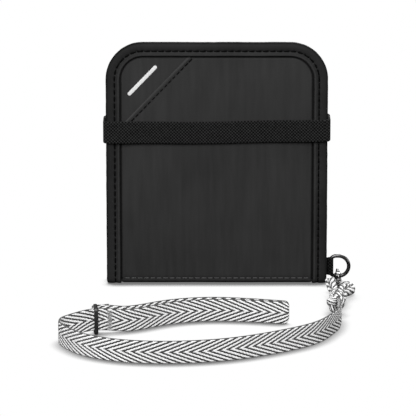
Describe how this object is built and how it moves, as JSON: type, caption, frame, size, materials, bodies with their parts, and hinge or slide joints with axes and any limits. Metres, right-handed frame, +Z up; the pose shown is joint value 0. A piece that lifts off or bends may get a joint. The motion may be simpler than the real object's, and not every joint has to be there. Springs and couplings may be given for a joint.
{
  "type": "neck pouch wallet",
  "caption": "Compact black fabric travel wallet that folds at the bottom, with edge binding, an elastic closing band, a ring and clasp, and a chevron webbing strap with a slider.",
  "frame": {"origin": "middle of the underside of the fold that the closed wallet stands on", "axes": "+Z up, the front panel faces -Y, +X is to the right of the front, where the ring is"},
  "size_m": [0.116, 0.1287, 0.0998],
  "materials": {
    "outer_fabric": "matte black ripstop nylon shell",
    "binding_tape": "black folded binding tape, stitched",
    "elastic": "black woven elastic, matte",
    "tab_tape": "black woven tape, matte",
    "lining": "dark grey woven lining",
    "stiffener": "plain pressed sheet",
    "shielding": "thin metallised shielding sheet",
    "clear_film": "clear flexible film",
    "webbing": "white and dark grey chevron webbing",
    "gunmetal": "black gunmetal plating, satin",
    "slider_plastic": "black moulded plastic, satin"
  },
  "bodies": {
    "front_half": {"front_cover": "outer_fabric", "corner_patch": "outer_fabric", "front_binding": "binding_tape", "front_stiffener": "stiffener", "front_rfid_liner": "shielding", "front_lining": "lining", "slip_pocket": "lining", "id_window_film": "clear_film", "id_window_frame": "lining", "ring_tab": "tab_tape"},
    "spine": {"spine_cover": "outer_fabric", "spine_lining": "lining", "spine_binding_left": "binding_tape", "spine_binding_right": "binding_tape"},
    "back_half": {"back_cover": "outer_fabric", "back_binding": "binding_tape", "back_stiffener": "stiffener", "back_rfid_liner": "shielding", "back_lining": "lining", "card_pocket_1": "lining", "card_pocket_2": "lining", "card_pocket_3": "lining"},
    "band": {"elastic_band": "elastic", "band_join": "elastic"},
    "ring": {"d_ring": "gunmetal"},
    "clasp": {"clasp_body": "gunmetal", "clasp_gate_pin": "gunmetal"},
    "gate": {"clasp_gate": "gunmetal"},
    "swivel": {"clasp_swivel_eye": "gunmetal"},
    "strap_1": {"strap_lead": "webbing", "strap_knot": "webbing", "strap_section_1": "webbing"},
    "strap_2": {"strap_section_2": "webbing"},
    "strap_3": {"strap_section_3": "webbing"},
    "strap_4": {"strap_section_4": "webbing"},
    "strap_5": {"strap_section_5": "webbing"},
    "strap_6": {"strap_section_6": "webbing", "strap_return": "webbing"},
    "strap_tip": {"strap_end_fold": "webbing"},
    "slider": {"strap_slider": "slider_plastic", "strap_sewn_eye": "webbing"}
  },
  "joints": [
    {"name": "spine_fold", "type": "hinge", "parent": "front_half", "child": "spine", "pos_m": [0, -0.0046, 0.0005], "axis": [-1, 0, 0], "range_deg": [0, 90], "deforming": ["elastic_band", "band_join"]},
    {"name": "back_fold", "type": "hinge", "parent": "spine", "child": "back_half", "pos_m": [0, 0.0046, 0.0005], "axis": [-1, 0, 0], "range_deg": [0, 90]},
    {"name": "band_slide", "type": "slide", "parent": "front_half", "child": "band", "axis": [0, 0, 1], "range_m": [0, 0.045]},
    {"name": "ring_swing", "type": "hinge", "parent": "front_half", "child": "ring", "pos_m": [0.0461, -0.001, 0.0065], "axis": [0, 0, 1], "range_deg": [-10, 45]},
    {"name": "clasp_hang", "type": "hinge", "parent": "ring", "child": "clasp", "pos_m": [0.0492, -0.001, 0.00228], "axis": [-1, 0, 0], "range_deg": [0, 45]},
    {"name": "gate_open", "type": "hinge", "parent": "clasp", "child": "gate", "pos_m": [0.0492, -0.0066, 0.00455], "axis": [-1, 0, 0], "range_deg": [0, 25], "stiffness_Nm_per_rad": 0.0005},
    {"name": "clasp_swivel", "type": "hinge", "parent": "clasp", "child": "swivel", "pos_m": [0.0492, -0.009, 0.00285], "axis": [0, 1, 0], "continuous": true},
    {"name": "lead_swing", "type": "hinge", "parent": "swivel", "child": "strap_1", "pos_m": [0.0492, -0.0146, 0.00285], "axis": [0, 0, 1], "range_deg": [-10, 30]},
    {"name": "strap_bend_1", "type": "hinge", "parent": "strap_1", "child": "strap_2", "pos_m": [0.04802, -0.06837, 0.0045], "axis": [0, 0, 1], "range_deg": [-4, 20]},
    {"name": "strap_bend_2", "type": "hinge", "parent": "strap_2", "child": "strap_3", "pos_m": [0.037, -0.09486, 0.0045], "axis": [0, 0, 1], "range_deg": [-4, 20]},
    {"name": "strap_bend_3", "type": "hinge", "parent": "strap_3", "child": "strap_4", "pos_m": [0.00945, -0.11445, 0.0045], "axis": [0, 0, 1], "range_deg": [-3, 20]},
    {"name": "strap_bend_4", "type": "hinge", "parent": "strap_4", "child": "strap_5", "pos_m": [-0.02366, -0.12066, 0.0045], "axis": [0, 0, 1], "range_deg": [-3, 20]},
    {"name": "strap_bend_5", "type": "hinge", "parent": "strap_5", "child": "strap_6", "pos_m": [-0.05595, -0.10378, 0.0045], "axis": [0, 0, 1], "range_deg": [-4, 20]},
    {"name": "strap_bend_6", "type": "hinge", "parent": "strap_6", "child": "strap_tip", "pos_m": [-0.01063, -0.06165, 0.0045], "axis": [0, 0, 1], "range_deg": [-10, 15]},
    {"name": "slider_slide", "type": "slide", "parent": "strap_6", "child": "slider", "axis": [0.9643, 0.2648, 0], "range_m": [-0.002, 0.002]}
  ],
  "couplings": [
    {"joint": "back_fold", "follows": "spine_fold", "ratio": 1}
  ]
}
